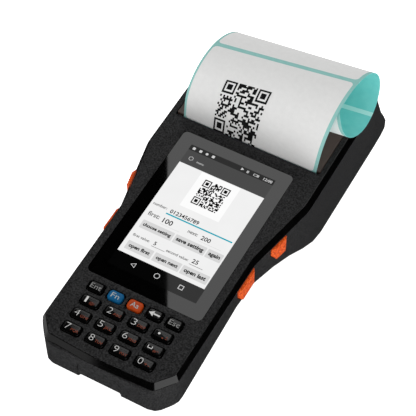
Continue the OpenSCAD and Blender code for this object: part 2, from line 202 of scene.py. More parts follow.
pianoBlack = makeGloss("polishedAbsTrim", "#020202", "#050505", 0.15)
blackGlass = makeGloss("paintedCoverGlass", "#020202", "#030303", 0.02, wave=0.0004)
keyBlack = makeGloss("hardCoatedKeyPlastic", "#030303", "#060606", 0.2, 0.36)
keyBlue = makeGloss("hardCoatedKeyPlasticBlue", "#054b76", "#0a5d8c", 0.35, 0.12)
keyOrange = makeGloss("hardCoatedKeyPlasticOrange", "#a63a0a", "#b84511", 0.35, 0.12)
windowRed = makeGloss("dyedAcrylicWindow", "#2a0507", "#3d080b", 0.05)
sensorBlack = makeGloss("sensorHousingPlastic", "#0b0c0d", "#15171a", 0.3)
legendWhite = makeGloss("screenPrintedWhiteInk", "#c6c6c4", "#dcdcda", 0.5, 0.2, grain=0.8)
legendPale = makeGloss("screenPrintedPaleInk", "#9ba3a4", "#afb5b5", 0.5, 0.2, grain=0.8)
legendGrey = makeGloss("screenPrintedGreyInk", "#7c7c7b", "#8e8e8c", 0.5, 0.2, grain=0.8)
legendRust = makeGloss("screenPrintedRustInk", "#74301a", "#883c22", 0.5, 0.2, grain=0.8)


def makeRubber(name, dark, light, grain):
    # moulded elastomer: matt, with a soft sheen at grazing angles
    finish, tree, shader, place = startMaterial(name, Specular_IOR_Level=0.25, Sheen_Weight=0.06,
                                                Sheen_Roughness=0.5)
    noise = mottled(tree, shader, place, dark, light, grain, 0.5)
    roughened(tree, shader, noise.outputs["Fac"], 0.6, 0.8)
    bumped(tree, shader, noise.outputs["Fac"], 0.4, 0.05)
    return finish


orangeTpe = {"deep": "#ad3a02", "base": "#e35205", "dotHighlight": "#f7792a", "cell": 1.1}


def makeOrangeTpe():
    # orange thermoplastic elastomer from a coarse textured tool: tiny raised dots from the bump, with a painted
    # highlight of lighter colour on each dot and painted shade of darker colour between them
    finish, tree, shader, place = startMaterial("texturedOrangeElastomer", Specular_IOR_Level=0.15)
    dots = addNode(tree, "ShaderNodeTexVoronoi", {"Vector": place, "Scale": 1 / (orangeTpe["cell"] * mm)})
    ramp = addNode(tree, "ShaderNodeValToRGB", {"Fac": dots.outputs["Distance"]})
    # painted highlight and shade: lighter colour at each dot's centre, darker towards its rim
    ramp.color_ramp.elements[0].position = 0.1
    ramp.color_ramp.elements[0].color = toLinear(orangeTpe["dotHighlight"])
    ramp.color_ramp.elements[1].position = 0.9
    ramp.color_ramp.elements[1].color = toLinear(orangeTpe["deep"])
    middle = ramp.color_ramp.elements.new(0.4)
    middle.color = toLinear(orangeTpe["base"])
    tree.links.new(ramp.outputs["Color"], shader.inputs["Base Color"])
    bump = bumped(tree, shader, dots.outputs["Distance"], 0.5, 0.06)
    bump.invert = True
    roughened(tree, shader, dots.outputs["Distance"], 0.45, 0.65)
    return finish


buttonOrange = makeOrangeTpe()
footRubber = makeRubber("mouldedRubberFoot", "#0e0e0e", "#1a1a1a", 0.8)
platenRubber = makeRubber("groundRubberPlaten", "#101010", "#1c1c1c", 0.3)
matSilicone = makeRubber("siliconeKeypadMat", "#3e3e40", "#4e4e50", 1.2)


def makeMetal(name, dark, light, rough, stretch):
    # turned or rolled metal: fine lines along the work direction
    finish, tree, shader, place = startMaterial(name, Metallic=1.0)
    turned = addNode(tree, "ShaderNodeMapping", {"Vector": place, "Scale": stretch})
    noise = makeNoise(tree, turned.outputs["Vector"], 0.6, 3)
    ramp = addNode(tree, "ShaderNodeValToRGB", {"Fac": noise.outputs["Fac"]})
    ramp.color_ramp.elements[0].color = toLinear(dark)
    ramp.color_ramp.elements[1].color = toLinear(light)
    tree.links.new(ramp.outputs["Color"], shader.inputs["Base Color"])
    roughened(tree, shader, noise.outputs["Fac"], rough * 0.8, rough * 1.25)
    bumped(tree, shader, noise.outputs["Fac"], 0.2, 0.01)
    return finish


shaftSteel = makeMetal("turnedSteelShaft", "#b4b6ba", "#d6d8da", 0.28, (8, 0.6, 0.6))
frameSteel = makeMetal("rolledZincSteelSheet", "#8f9296", "#a9acb0", 0.42, (0.4, 2, 2))
tearSteel = makeMetal("blackenedSteelTearBar", "#1d1d1f", "#2e2e31", 0.4, (0.3, 4, 4))
motorSteel = makeMetal("drawnMotorCan", "#9ea1a5", "#bfc2c6", 0.36, (0.5, 3, 3))
screwSteel = makeMetal("blackenedScrewSteel", "#3a3a3c", "#5a5a5c", 0.38, (2, 2, 2))
antennaCopper = makeMetal("etchedCopperLoop", "#8a4e28", "#b06a3a", 0.35, (1, 1, 1))


def makePowdery(name, dark, light, rough, grain, specular=0.3, depth=0.02):
    # fired ceramic, card and plain moulded parts: even, matt and slightly uneven in tone
    finish, tree, shader, place = startMaterial(name, Specular_IOR_Level=specular)
    noise = mottled(tree, shader, place, dark, light, grain)
    roughened(tree, shader, noise.outputs["Fac"], rough * 0.9, rough * 1.1)
    bumped(tree, shader, noise.outputs["Fac"], 0.3, depth)
    return finish


headCeramic = makePowdery("glazedAluminaHead", "#cbc7ba", "#dedacd", 0.35, 2)
gearPlastic = makePowdery("mouldedAcetalGear", "#e0dbc8", "#efeadb", 0.4, 1.5)
coreCard = makePowdery("spiralWoundCard", "#a67a4b", "#c49a6c", 0.8, 0.7)
holderPlastic = makePowdery("mouldedNylonHolder", "#242527", "#343638", 0.5, 1.2)
boardGreen = makePowdery("solderMaskedBoard", "#0f4a2b", "#1c6a40", 0.35, 1.8)
batteryWrap = makePowdery("shrinkWrappedCell", "#33373d", "#434850", 0.45, 3)
panelGrey = makePowdery("backlitPanelGlass", "#c8ccd0", "#dfe3e6", 0.3, 4)
rollPaper = makePowdery("woundLabelStock", "#dcdcd6", "#f2f2ee", 0.7, 0.6)


def makeSmoked():
    # smoke-tinted polycarbonate: brown body colour, broad dull highlight, a little of the inside shows
    finish, tree, shader, place = startMaterial("smokedPolycarbonate", Specular_IOR_Level=0.22,
                                                Transmission_Weight=0.08)
    noise = mottled(tree, shader, place, "#4b3d38", "#564740", 5)
    roughened(tree, shader, noise.outputs["Fac"], 0.32, 0.45)
    bumped(tree, shader, noise.outputs["Fac"], 0.1, 0.005)
    return finish


smokedLid = makeSmoked()

labelStock = {"width": 82, "length": 174, "pitch": 57, "firstGap": 61, "gap": 2.6,
              "leftMargin": 1.2, "rightMargin": 1.9, "corner": 2.2}


def makeLabelFace():
    # thermal label on a tinted release liner: soft white paper, with bands of liner between labels
    finish, tree, shader, place = startMaterial("thermalLabelPaper", Specular_IOR_Level=0.15, Roughness=0.75)
    uv = addNode(tree, "ShaderNodeUVMap", uv_map="alongLabel")
    split = addNode(tree, "ShaderNodeSeparateXYZ", {"Vector": uv.outputs["UV"]})
    s = labelStock
    halfW = (s["width"] - s["leftMargin"] - s["rightMargin"]) / 2
    halfL = (s["pitch"] - s["gap"]) / 2
    across = mathNode(tree, "MULTIPLY", split.outputs["X"], s["width"])
    across = mathNode(tree, "ABSOLUTE", mathNode(tree, "SUBTRACT", across, s["leftMargin"] + halfW), 0)
    along = mathNode(tree, "MULTIPLY", split.outputs["Y"], s["length"])
    along = mathNode(tree, "ADD", along, 2 * s["pitch"] - s["firstGap"])
    along = mathNode(tree, "MODULO", along, s["pitch"])
    along = mathNode(tree, "ABSOLUTE", mathNode(tree, "SUBTRACT", along, s["pitch"] / 2), 0)
    outX = mathNode(tree, "MAXIMUM", mathNode(tree, "SUBTRACT", across, halfW - s["corner"]), 0)
    outY = mathNode(tree, "MAXIMUM", mathNode(tree, "SUBTRACT", along, halfL - s["corner"]), 0)
    squares = mathNode(tree, "ADD", mathNode(tree, "MULTIPLY", outX, outX),
                       mathNode(tree, "MULTIPLY", outY, outY))
    reach = mathNode(tree, "SQRT", squares, 0)
    insideLabel = mathNode(tree, "LESS_THAN", reach, s["corner"])
    fibres = makeNoise(tree, place, 2.5, 5)
    white = mixed(tree, fibres.outputs["Fac"], toLinear("#dadad9"), toLinear("#e4e4e3"))
    liner = mixed(tree, fibres.outputs["Fac"], toLinear("#84bab5"), toLinear("#98c8c3"))
    both = mixed(tree, insideLabel, liner, white)
    tree.links.new(both, shader.inputs["Base Color"])
    step = mathNode(tree, "ADD", mathNode(tree, "MULTIPLY", fibres.outputs["Fac"], 0.2), insideLabel)
    bumped(tree, shader, step, 0.25, 0.08)
    return finish


def makeLinerBack():
    # silicone-coated release liner, tinted teal. The lighter band where no label backs it is painted light shining
    # through the liner, and the liner colour also drives a faint painted glow
    finish, tree, shader, place = startMaterial("tintedReleaseLinerPaintedGlow", Specular_IOR_Level=0.35, Roughness=0.5)
    uv = addNode(tree, "ShaderNodeUVMap", uv_map="alongLabel")
    split = addNode(tree, "ShaderNodeSeparateXYZ", {"Vector": uv.outputs["UV"]})
    s = labelStock
    along = mathNode(tree, "MULTIPLY", split.outputs["Y"], s["length"])
    along = mathNode(tree, "ADD", along, 2 * s["pitch"] - s["firstGap"] + s["gap"] / 2)
    along = mathNode(tree, "MODULO", along, s["pitch"])
    gap = mathNode(tree, "LESS_THAN", along, s["gap"])
    cloud = makeNoise(tree, place, 6, 4)
    body = mixed(tree, cloud.outputs["Fac"], toLinear("#62c4c1"), toLinear("#84d6d1"))
    # painted light: the gap between labels gets a lighter colour for light coming through the liner
    both = mixed(tree, gap, body, toLinear("#b9e6e1"))
    tree.links.new(both, shader.inputs["Base Color"])
    # painted glow: the liner colour is sent to emission, so the paper gives off a little light of its own
    tree.links.new(both, shader.inputs["Emission Color"])
    shader.inputs["Emission Strength"].default_value = 0.12
    bumped(tree, shader, cloud.outputs["Fac"], 0.1, 0.05)
    return finish


labelFace = makeLabelFace()
linerBack = makeLinerBack()


def makeLit(name, code, specular=0.0):
    # a lit part of the display: even light with a slight drift in tone, as a backlight gives
    finish, tree, shader, place = startMaterial(name, Specular_IOR_Level=specular, Roughness=0.03)
    shader.inputs["Base Color"].default_value = (0, 0, 0, 1)
    drift = makeNoise(tree, place, 9, 1)
    dimmer = tuple(c * 0.96 for c in toLinear(code)[:3]) + (1,)
    tone = mixed(tree, drift.outputs["Fac"], dimmer, toLinear(code))
    tree.links.new(tone, shader.inputs["Emission Color"])
    shader.inputs["Emission Strength"].default_value = 1.0
    return finish


litWhite = makeLit("displayWhite", "#ffffff")
litPage = makeLit("displayPageGrey", "#f3f3f3")
litButton = makeLit("displayButtonGrey", "#d9d9d9")
litInk = makeLit("displayInkGrey", "#1c1c1c")
litSoftInk = makeLit("displaySoftInkGrey", "#6c6c6c")
litBlack = makeLit("displayBlack", "#0c0c0c")
litCyan = makeLit("displayCyan", "#1fa9bb")
litStatus = makeLit("displayStatusStrip", "#303030")
litTitle = makeLit("displayTitleStrip", "#4b4b4b")
litStripInk = makeLit("displayStripInkGrey", "#b4b4b4")
litIcon = makeLit("displayIconGrey", "#d2d2d2")
offPanel = makeLit("displayDarkPanel", "#050505", 0.2)
print("materials made:", len(bpy.data.materials))

finishOf = {
    "front_cover": coverAbs, "rear_housing": housingAbs, "battery_cover": housingAbs,
    "trim_band": pianoBlack, "touch_glass": blackGlass, "display_panel": panelGrey,
    "nfc_antenna": antennaCopper, "main_board": boardGreen, "keypad_mat": matSilicone,
    "battery": batteryWrap, "speaker": sensorBlack, "usb_socket": shaftSteel, "port_cover": housingAbs,
    "printer_frame": frameSteel, "print_head": headCeramic, "tear_bar": tearSteel,
    "stepper_motor": motorSteel, "motor_shaft": shaftSteel, "motor_pinion": gearPlastic,
    "idler_stud": shaftSteel, "idler_gear": gearPlastic, "platen_gear": gearPlastic,
    "platen_shaft": shaftSteel, "platen_rubber": platenRubber, "label_roll": rollPaper,
    "roll_core": coreCard, "roll_holders": holderPlastic, "label_web": rollPaper,
    "printer_lid": smokedLid, "lid_hinge_pin": shaftSteel, "scan_engine": sensorBlack,
    "scan_window": windowRed, "heel_foot": footRubber, "belly_foot": footRubber, "screws": screwSteel}
for nodeName, finish in finishOf.items():
    cadNodes[nodeName].data.materials.clear()
    cadNodes[nodeName].data.materials.append(finish)


# ------- casing: copies of the CAD shells with their edges rounded as the moulds leave them

shells = {"front_cover": ("frontCoverShell", 0.2), "trim_band": ("glossTrimBand", 0.15),
          "rear_housing": ("rearHousingShell", 0.35), "battery_cover": ("batteryDoor", 0.4),
          "port_cover": ("portFlap", 0.35), "printer_lid": ("smokedPrinterLid", 0.25),
          "heel_foot": ("heelFootPad", 0.3), "belly_foot": ("bellyFootPad", 0.3)}
mergeReach = 0.000002
bodyOf = {n: b for b, members in frame["record"]["behaviour"]["bodies"].items() for n in members}


def softCopy(nodeName, name, edge, smooth=38, limit=28):
    source = cadNodes[nodeName]
    piece = source.copy()
    piece.data = source.data.copy()
    for key in list(piece.keys()):
        del piece[key]
    piece.parent = None
    piece.matrix_world = Matrix.Identity(4)
    bpy.context.scene.collection.objects.link(piece)
    piece.name = name
    piece.data.name = name
    openMesh(piece)
    bpy.ops.mesh.select_all(action="SELECT")
    bpy.ops.mesh.remove_doubles(threshold=mergeReach)
    closeMesh(False)
    bpy.ops.object.shade_smooth_by_angle(angle=math.radians(smooth))
    rounding = piece.modifiers.new("rounding", "BEVEL")
    rounding.width = edge * mm
    rounding.segments = 2
    rounding.limit_method = "ANGLE"
    rounding.angle_limit = math.radians(limit)
    rounding.use_clamp_overlap = True
    rounding.harden_normals = True
    applyAll(piece)
    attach(piece, bodyOf[nodeName])
    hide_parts(nodeName)
    return piece


for nodeName, (name, edge) in shells.items():
    softCopy(nodeName, name, edge)
print("casing rounded")


# ------- shared shaping

def roundedSlab(x, y, width, length, radius, low, high, segments=5):
    bpy.ops.object.select_all(action="DESELECT")
    bpy.ops.mesh.primitive_plane_add(size=1)
    slab = bpy.context.object
    slab.scale = (width * mm, length * mm, 1)
    slab.location = (x * mm, y * mm, low * mm)
    bpy.ops.object.transform_apply(location=True, rotation=True, scale=True)
    openMesh(slab)
    bpy.ops.mesh.select_all(action="SELECT")
    if radius:
        bpy.ops.mesh.bevel(offset=radius * mm, segments=segments, affect="VERTICES")
        bpy.ops.mesh.select_all(action="SELECT")
    bpy.ops.mesh.extrude_region_move(TRANSFORM_OT_translate={"value": (0, 0, (high - low) * mm)})
    return slab


def plainSlab(x, y, width, length, radius, low, high, segments=4):
    slab = roundedSlab(x, y, width, length, radius, low, high, segments)
    closeMesh()
    return slab


def lettering(words, left, right, base, low, high, tall=None, weight=0.0):
    # words set from left to right on a base line; their height follows unless tall is given
    bpy.ops.object.select_all(action="DESELECT")
    bpy.ops.object.text_add()
    label = bpy.context.object
    label.data.body = words
    label.data.resolution_u = 3
    label.data.extrude = 0.5
    label.data.offset = weight
    bpy.ops.object.convert(target="MESH")
    label = bpy.context.object
    openMesh(label)
    bpy.ops.mesh.select_all(action="SELECT")
    bpy.ops.mesh.remove_doubles(threshold=0.0001)
    closeMesh()
    xs = [v.co.x for v in label.data.vertices]
    ys = [v.co.y for v in label.data.vertices]
    grow = (right - left) * mm / (max(xs) - min(xs))
    up = tall * mm / (max(ys) - max(min(ys), 0)) if tall else grow
    label.scale = (grow, up, (high - low) * mm)
    label.location = (left * mm - min(xs) * grow, base * mm, (low + high) / 2 * mm)
    bpy.ops.object.transform_apply(location=True, rotation=True, scale=True)
    return label


def paint(piece, finish):
    piece.data.materials.clear()
    piece.data.materials.append(finish)
    return piece


def joined(pieces):
    alone(*pieces)
    bpy.ops.object.join()
    return bpy.context.object


glass = {"y": 97.95, "width": 67.7, "length": 104.9, "corner": 2.9, "low": -0.95, "high": -0.05,
         "edge": 0.12}
pane = roundedSlab(0, glass["y"], glass["width"], glass["length"], glass["corner"], glass["low"],
                   glass["high"] - glass["edge"], 8)
bpy.ops.mesh.inset(thickness=glass["edge"] * mm, depth=glass["edge"] * mm)
closeMesh()
settle(pane, "coverGlass", "terminal", blackGlass, 30)
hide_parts("touch_glass")
print("cover glass made")


# ------- keys

keyShape = {"corner": 1.7, "body": 0.6, "foot": -2.6,
            "steps": [(0.25, 0.2), (0.35, 0.16), (0.55, 0.12), (0.75, 0.06)],
            "digit": 3.6, "digitShift": -2.25, "markHeight": 1.5, "topWidth": 8.1, "topLength": 5.7,
            "digitWidth": 10.3, "digitLength": 6.0}
rowStep = 9.05
firstRow = 11.1
topRow = firstRow + 3 * rowStep - 0.1
topStep = 11.56
digitStep = 14.16
topKeys = [("enter", "Ent", keyBlack, legendGrey), ("fn", "Fn", keyBlue, legendPale),
           ("caps", "Aa", keyOrange, legendPale), ("back", "", keyBlack, legendWhite),
           ("escape", "Esc", keyBlack, legendGrey)]
digitKeys = [[("7", "PQR"), ("8", "TUV"), ("9", "WXY"), ("0", "+-")],
             [("4", "GHI"), ("5", "JKL"), ("6", "MNO"), ("space", "#*")],
             [("1", "@/"), ("2", "ABC"), ("3", "DEF"), ("dot", ",:")]]


def modelKey(x, y, width, length):
    # a rounded cap: straight skirt, soft shoulder, then a crown drawn in by stepped insets
    k = keyShape
    cap = roundedSlab(x, y, width, length, k["corner"], k["foot"], k["body"], 6)
    for inset, lift in k["steps"]:
        bpy.ops.mesh.inset(thickness=inset * mm, depth=lift * mm)
    closeMesh()
    return cap


def addKey(keyName, x, y, width, length, finish):
    cap = modelKey(x, y, width, length)
    settle(cap, "keyCap." + keyName, "key_" + keyName + "_body", finish, 60)
    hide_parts("key_" + keyName)


markTop = keyShape["body"] + sum(lift for inset, lift in keyShape["steps"]) + 0.03
markLow = markTop - 0.45


def addMark(keyName, mark, name, ink):
    settle(mark, name, "key_" + keyName + "_body", ink, 0)


def arrowMark(x, y, size):
    shaft = plainSlab(x + 0.15 * size, y, 0.75 * size, 0.16 * size, 0, markLow, markTop)
    bpy.ops.object.select_all(action="DESELECT")
    middle = Vector((x - 0.32 * size, y, (markLow + markTop) / 2)) * mm
    bpy.ops.mesh.primitive_cylinder_add(vertices=3, radius=0.34 * size * mm, depth=(markTop - markLow) * mm,
                                        location=middle, rotation=(0, 0, math.radians(90)))
    head = bpy.context.object
    bpy.ops.object.transform_apply(location=True, rotation=True, scale=True)
    return joined([shaft, head])


def trayMark(x, y, width, height):
    stroke = 0.42
    parts = [plainSlab(x, y, width, stroke, 0, markLow, markTop),
             plainSlab(x - width / 2 + stroke / 2, y + height / 2, stroke, height, 0, markLow, markTop),
             plainSlab(x + width / 2 - stroke / 2, y + height / 2, stroke, height, 0, markLow, markTop)]
    return joined(parts)


for i, (keyName, words, finish, ink) in enumerate(topKeys):
    x = (i - 2) * topStep
    addKey(keyName, x, topRow, keyShape["topWidth"], keyShape["topLength"], finish)
    if words:
        half = 3.1 if len(words) == 3 else 2.3
        mark = lettering(words, x - half, x + half, topRow - 1.5, markLow, markTop, 2.9)
    else:
        mark = arrowMark(x + 0.2, topRow, 5.4)
    addMark(keyName, mark, "keyLegend." + keyName, ink)

for row, names in enumerate(digitKeys):
    for i, (keyName, marks) in enumerate(names):
        x = (i - 1.5) * digitStep
        y = firstRow + row * rowStep
        addKey(keyName, x, y, keyShape["digitWidth"], keyShape["digitLength"], keyBlack)
        cx = x + keyShape["digitShift"]
        if keyName == "dot":
            mark = plainSlab(cx + 0.2, y + 0.3, 1.3, 1.3, 0.64, markLow, markTop, 6)
        elif keyName == "space":
            mark = trayMark(cx + 0.2, y - 0.4, 2.7, 1.5)
        else:
            wide = 1.1 if keyName == "1" else 2.5
            mark = lettering(keyName, cx - wide / 2, cx + wide / 2, y - keyShape["digit"] / 2 + 0.1,
                             markLow, markTop, keyShape["digit"], -0.022)
        addMark(keyName, mark, "keyLegend." + keyName, legendWhite)
        smallRight = x + (4.4 if len(marks) == 3 else 3.2)
        small = lettering(marks, x + 0.1, smallRight, y - 1.5, markLow, markTop - 0.02,
                          keyShape["markHeight"])
        addMark(keyName, small, "keySideMark." + keyName, legendRust)
print("keypad made")


# ------- orange side buttons

buttonNames = {"right_release": "rightReleaseButton", "left_release": "leftReleaseButton",
               "right_trigger": "rightTriggerButton", "left_trigger": "leftTriggerButton"}
for nodeName, name in buttonNames.items():
    button = softCopy(nodeName, name, 0.45, 45, 20)
    paint(button, buttonOrange)

ribs = {"count": 6, "pitch": 1.6, "depth": 1.0, "thick": 0.95, "tall": 7.4,
        "x": 46.3, "y": 111.5, "z": -10.5}
shoulder = {"gripHalf": 40.4, "headHalf": 49.65, "start": 92, "end": 136}


def modelRib(offset):
    r = ribs
    widening = shoulder["headHalf"] - shoulder["gripHalf"]
    turn = math.atan(widening / (shoulder["end"] - shoulder["start"]))
    bpy.ops.object.select_all(action="DESELECT")
    bpy.ops.mesh.primitive_cube_add(size=1)
    rib = bpy.context.object
    rib.scale = (r["depth"] * mm, r["thick"] * mm, r["tall"] * mm)
    bpy.ops.object.transform_apply(location=True, rotation=True, scale=True)
    openMesh(rib)
    pickFaces(rib, lambda face: face.normal.x < -0.5)
    bpy.ops.mesh.inset(thickness=0.2 * mm, depth=0.25 * mm)
    bpy.ops.mesh.inset(thickness=0.15 * mm, depth=0.08 * mm)
    closeMesh()
    lineUp = Matrix.Rotation(turn, 4, "Z")
    centre = Vector((-r["x"], r["y"], r["z"])) * mm
    rib.matrix_world = Matrix.Translation(centre) @ lineUp @ Matrix.Translation((0, offset * mm, 0))
    bpy.ops.object.transform_apply(location=True, rotation=True, scale=True)
    return rib


middleRib = (ribs["count"] - 1) / 2
ribSet = joined([modelRib((i - middleRib) * ribs["pitch"]) for i in range(ribs["count"])])
settle(ribSet, "leftReleaseRibs", "left_release_body", buttonOrange)
print("side buttons made")


# ------- display picture, lying on the glass in layers of a few hundredths of a millimetre

glassTop = glass["high"]
layer = 0.02
panelBelow = 0.015    # how far a flat area reaches under its layer
panelAbove = 0.018
wordDepth = 0.015
display = {"half": 25.9, "low": 64.0, "high": 130.0, "nav": 54.4, "title": 139.7, "status": 143.4}
pageParts = []


def onScreen(x0, x1, y0, y1, level, finish, radius=0.0):
    low = glassTop + level * layer
    piece = plainSlab((x0 + x1) / 2, (y0 + y1) / 2, x1 - x0, y1 - y0, radius, low - panelBelow,
                      low + panelAbove)
    pageParts.append(paint(piece, finish))


def screenWords(words, x0, x1, base, level, finish, weight=0.018):
    low = glassTop + level * layer
    pageParts.append(paint(lettering(words, x0, x1, base, low, low + wordDepth, None, weight), finish))


def outlined(x, y, radius, sides, stroke, level, finish, turn=0.0):
    # a thin closed outline, made by an inset whose middle is taken away
    low = glassTop + level * layer
    bpy.ops.object.select_all(action="DESELECT")
    bpy.ops.mesh.primitive_circle_add(vertices=sides, radius=radius * mm, fill_type="NGON",
                                      location=(x * mm, y * mm, low * mm), rotation=(0, 0, turn))
    ring = bpy.context.object
    bpy.ops.object.transform_apply(location=True, rotation=True, scale=True)
    openMesh(ring)
    bpy.ops.mesh.select_all(action="SELECT")
    bpy.ops.mesh.inset(thickness=stroke * mm)
    bpy.ops.mesh.delete(type="FACE")
    bpy.ops.mesh.select_all(action="SELECT")
    bpy.ops.mesh.extrude_region_move(TRANSFORM_OT_translate={"value": (0, 0, panelAbove * mm)})
    closeMesh()
    pageParts.append(paint(ring, finish))


def codeCells(count, seed):
    # a made-up block pattern: three square targets and filler from a small fixed sequence
    filled = set()
    state = seed
    for row in range(count):
        for column in range(count):
            state = (state * 1103515245 + 12345) % 2147483648
            if (state >> 16) % 100 < 49:
                filled.add((column, row))
    for cx, cy in ((0, 0), (count - 7, count - 7), (0, count - 7)):
        for i in range(-1, 8):
            for j in range(-1, 8):
                inside = 0 <= i < 7 and 0 <= j < 7
                ring = inside and (i in (0, 6) or j in (0, 6) or (2 <= i <= 4 and 2 <= j <= 4))
                filled.discard((cx + i, cy + j))
                if ring:
                    filled.add((cx + i, cy + j))
    return {(c, r) for c, r in filled if 0 <= c < count and 0 <= r < count}


def codeGrid(count, seed):
    # a unit grid with only the dark cells left
    bpy.ops.object.select_all(action="DESELECT")
    bpy.ops.mesh.primitive_grid_add(x_subdivisions=count, y_subdivisions=count, size=1)
    grid = bpy.context.object
    cells = codeCells(count, seed)
    openMesh(grid)
    pickFaces(grid, lambda face: (int((face.calc_center_median().x + 0.5) * count),
                                  int((face.calc_center_median().y + 0.5) * count)) not in cells)
    bpy.ops.mesh.delete(type="FACE")
    return grid


d = display
onScreen(-d["half"] - 0.4, d["half"] + 0.4, d["nav"], d["low"], 1, offPanel)
onScreen(-d["half"], d["half"], d["low"], d["high"], 1, litPage)
onScreen(-d["half"], d["half"], d["high"], d["title"], 1, litTitle)
onScreen(-d["half"], d["half"], d["title"], d["status"], 1, litStatus)
onScreen(-11.6, 12.0, 104.5, 129.6, 2, litWhite)

block = codeGrid(25, 4711)
bpy.ops.mesh.select_all(action="SELECT")
bpy.ops.mesh.extrude_region_move(TRANSFORM_OT_translate={"value": (0, 0, 1)})
closeMesh()
block.scale = (15.6 * mm, 17.4 * mm, wordDepth * mm)
block.location = (0.3 * mm, 117.4 * mm, (glassTop + 3 * layer) * mm)
bpy.ops.object.transform_apply(location=True, rotation=True, scale=True)
pageParts.append(paint(block, litBlack))

screenWords("number:", -24.4, -16.1, 98.4, 3, litSoftInk)
screenWords("0123456789", -13.9, 3.4, 97.6, 3, litInk)
onScreen(-15.2, 24.7, 95.95, 96.8, 2, litCyan)
screenWords("first:", -23.6, -16.6, 91.0, 3, litSoftInk)
screenWords("100", -14.4, -8.6, 90.3, 3, litInk)
onScreen(-14.8, -3.0, 88.9, 89.1, 2, litButton)
screenWords("next:", 0.7, 6.6, 91.0, 3, litSoftInk)
screenWords("200", 8.9, 14.4, 90.3, 3, litInk)
onScreen(8.4, 22.0, 88.9, 89.1, 2, litButton)
for x0, x1, words in ((-23.5, -4.4, "choose setting"), (-3.5, 15.1, "save setting"), (15.9, 25.0, "again")):
    onScreen(x0, x1, 81.7, 87.3, 2, litButton, 0.4)
    inset = 1.2
    screenWords(words, x0 + inset, x1 - inset, 83.7, 3, litBlack, 0.035)
screenWords("first value:", -23.6, -13.6, 75.6, 3, litSoftInk)
screenWords("5", -11.1, -9.7, 75.5, 3, litInk)
onScreen(-11.6, -3.6, 74.3, 74.55, 2, litSoftInk)
screenWords("second value:", -3.2, 9.9, 75.0, 3, litSoftInk)
screenWords("25", 11.9, 15.4, 75.3, 3, litInk)
onScreen(11.2, 19.4, 73.9, 74.15, 2, litSoftInk)
for x0, x1, words in ((-23.6, -8.2, "open first"), (-7.2, 8.6, "open next"), (9.4, 25.1, "open last")):
    onScreen(x0, x1, 66.5, 72.2, 2, litButton, 0.4)
    screenWords(words, x0 + 1.5, x1 - 1.5, 68.5, 3, litBlack, 0.035)
outlined(-13.4, 59.5, 1.85, 3, 0.27, 3, litIcon, math.radians(90))
outlined(0.5, 59.4, 1.65, 24, 0.34, 3, litIcon)
outlined(14.9, 59.2, 2.0, 4, 0.42, 3, litIcon, math.radians(45))
for x in (-23.2, -19.1, -11.3):
    onScreen(x - 0.8, x + 0.8, 140.6, 142.3, 3, litIcon, 0.25)
onScreen(-16.0, -14.4, 140.6, 142.2, 3, litIcon, 0.79)
outlined(6.4, 141.7, 1.1, 3, 0.5, 3, litIcon, math.radians(-90))
onScreen(9.3, 10.6, 140.6, 142.2, 3, litStripInk, 0.2)
onScreen(13.4, 16.8, 140.6, 142.2, 3, litStripInk, 0.3)
onScreen(13.9, 15.4, 140.9, 141.9, 4, litStatus, 0.1)
screenWords("12:00", 19.6, 24.8, 140.5, 3, litIcon)
outlined(-21.4, 134.7, 1.5, 6, 0.35, 3, litStripInk)
screenWords("menu", -17.6, -13.2, 133.4, 3, litStripInk)
settle(joined(pageParts), "displayPicture", "terminal", None, 0)
print("display picture made")


# ------- printed label, leaving the slot and rolling over into a loose curl

# Each edge leaves the slot at its lean and turns by its bend, in radians per mm, set at the knots.
# Drift and tuck give its sideways slope along the way, and skew sets one edge ahead of the other.
curl = {"left": {"x": -39.6, "drift": (0.13831, -0.02885, -0.15216), "lean": -0.06437,
                 "bend": (-0.02255, 0.00453, 0.03478, 0.04782, 0.04124,
                          0.02543, 0.05344, 0.06734, 0.02336, 0.09)},
        "right": {"x": 42.4, "drift": (0.08943, 0.19251, -0.34741), "lean": 0.04032,
                  "bend": (-0.00022, 0.00414, 0.0224, 0.03317, 0.04032,
                           0.03627, 0.0504, 0.07131, 0.01895, 0.09555)},
        "knots": (0, 10, 22, 38, 55, 75, 95, 115, 140, 175), "slot": 159.0, "skew": 6.3, "skewEnd": 118,
        "tuck": 0.384, "tuckStart": 105, "tuckLength": 70}


def alongKnots(values, s):
    knots = curl["knots"]
    for i in range(len(knots) - 1):
        if s <= knots[i + 1]:
            share = (s - knots[i]) / (knots[i + 1] - knots[i])
            return values[i] + (values[i + 1] - values[i]) * share
    return values[-1]


def edgePath(side):
    # the place of one paper edge at every millimetre of its length
    e = curl[side]
    reach = curl["knots"][-1]
    angle = e["lean"]
    here = Vector((e["x"], curl["slot"], 0))
    path = [here.copy()]
    old = None
    for s in range(reach + 1):
        angle += alongKnots(e["bend"], s)
        t = s / reach
        tucked = curl["tuck"] * max(0, (s - curl["tuckStart"]) / curl["tuckLength"]) ** 2
        sway = e["drift"][0] + e["drift"][1] * t + e["drift"][2] * t * t - tucked
        rest = math.sqrt(max(0.2, 1 - sway * sway))
        way = Vector((sway, math.sin(angle) * rest, math.cos(angle) * rest))
        if old is not None:
            here = here + (way + old) / 2
            path.append(here.copy())
        old = way
    return path


leftPath = edgePath("left")
rightPath = edgePath("right")


def onLabel(u, s, proud=0.0):
    # u across from 0 to 1, s along in mm; proud lifts a print off the paper
    shifted = s + curl["skew"] * (u - 0.5) * math.sin(math.pi * min(max(s / curl["skewEnd"], 0), 1))

    def at(path, s):
        if s < 0:
            return path[0] + Vector((0, 0, s))
        i = min(int(s), len(path) - 2)
        return path[i].lerp(path[i + 1], s - i)

    place = at(leftPath, shifted).lerp(at(rightPath, shifted), u)
    if proud:
        ahead = at(leftPath, shifted + 0.5).lerp(at(rightPath, shifted + 0.5), u)
        across = at(rightPath, shifted) - at(leftPath, shifted)
        place = place + across.cross(ahead - place).normalized() * proud
    return place * mm


